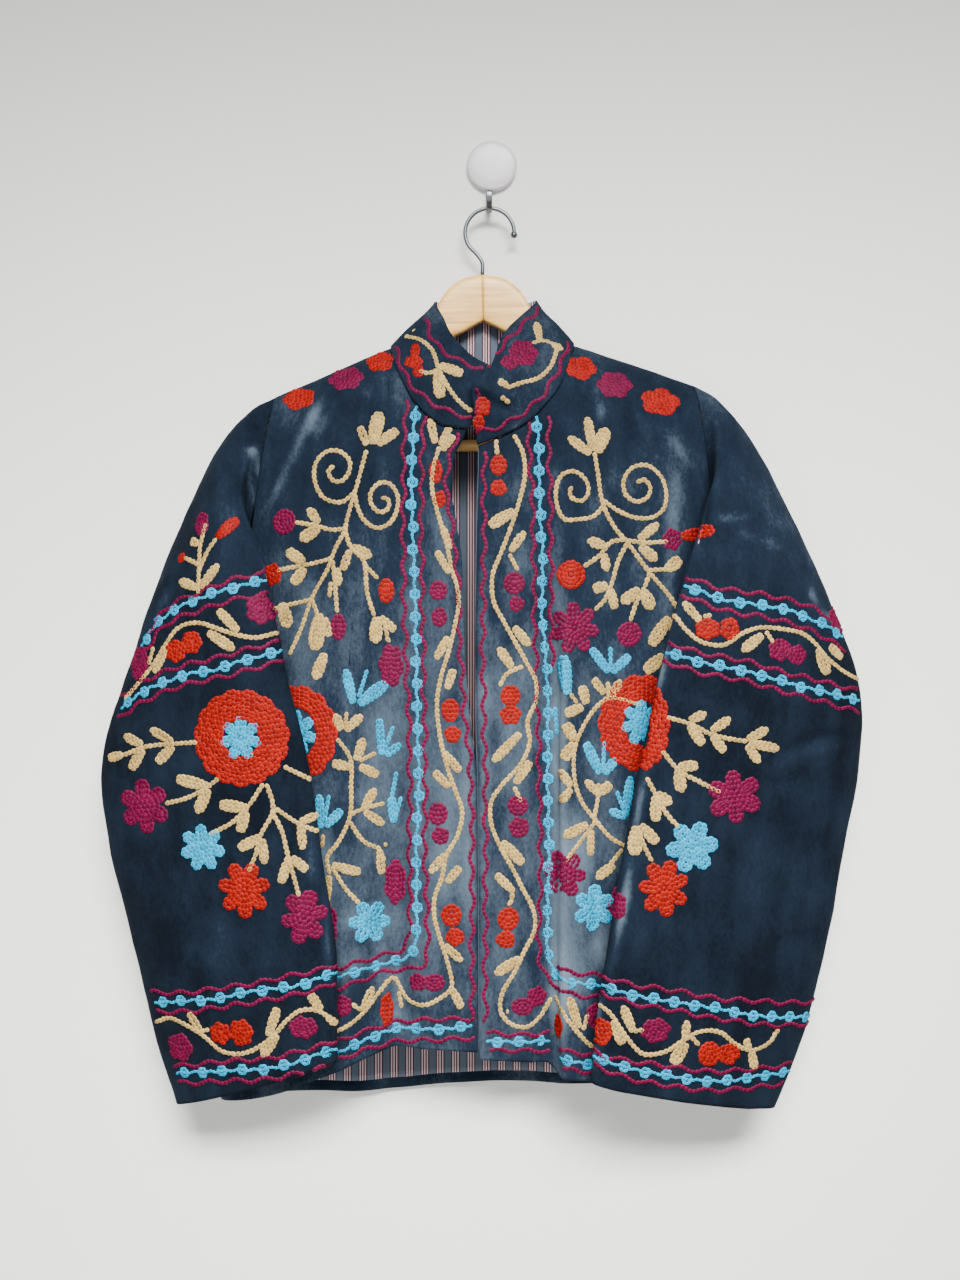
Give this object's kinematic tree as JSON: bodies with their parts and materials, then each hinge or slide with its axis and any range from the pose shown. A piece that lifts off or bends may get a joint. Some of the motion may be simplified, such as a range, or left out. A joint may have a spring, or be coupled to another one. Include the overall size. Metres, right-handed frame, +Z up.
{
  "type": "embroidered velvet jacket on a hanger with wall hook",
  "caption": "Open-fronted stand-collar velvet jacket with chain stitch embroidery and striped lining, hung on a wooden hanger from a round wall hook.",
  "frame": {"origin": "centre of the wall hook's flat back face, on the wall", "axes": "+Z up, +Y into the wall, +X to the right of someone facing the jacket"},
  "size_m": [0.6413, 0.1056, 0.8356],
  "materials": {
    "velvet": "cotton velvet, slate blue, short pile",
    "lining": "woven striped lining, slate with thin pale and dark red stripes",
    "wood": "pale wood, satin varnish",
    "steel": "bright steel wire and strip",
    "plastic": "white moulded plastic, satin",
    "thread_cream": "cream chain stitch thread",
    "thread_orange": "orange-red chain stitch thread",
    "thread_magenta": "dark magenta chain stitch thread",
    "thread_cyan": "light blue chain stitch thread"
  },
  "bodies": {
    "root": {"right_front": "velvet", "left_front": "velvet", "back": "velvet", "right_front_lining": "lining", "left_front_lining": "lining", "back_lining": "lining", "right_sleeve": "velvet", "left_sleeve": "velvet", "collar": "velvet", "hanger_arm_right": "wood", "hanger_arm_left": "wood", "hanger_bar": "wood", "hanger_hook": "steel", "wall_hook_disc": "plastic", "wall_hook_prong": "steel"}
  },
  "joints": []
}
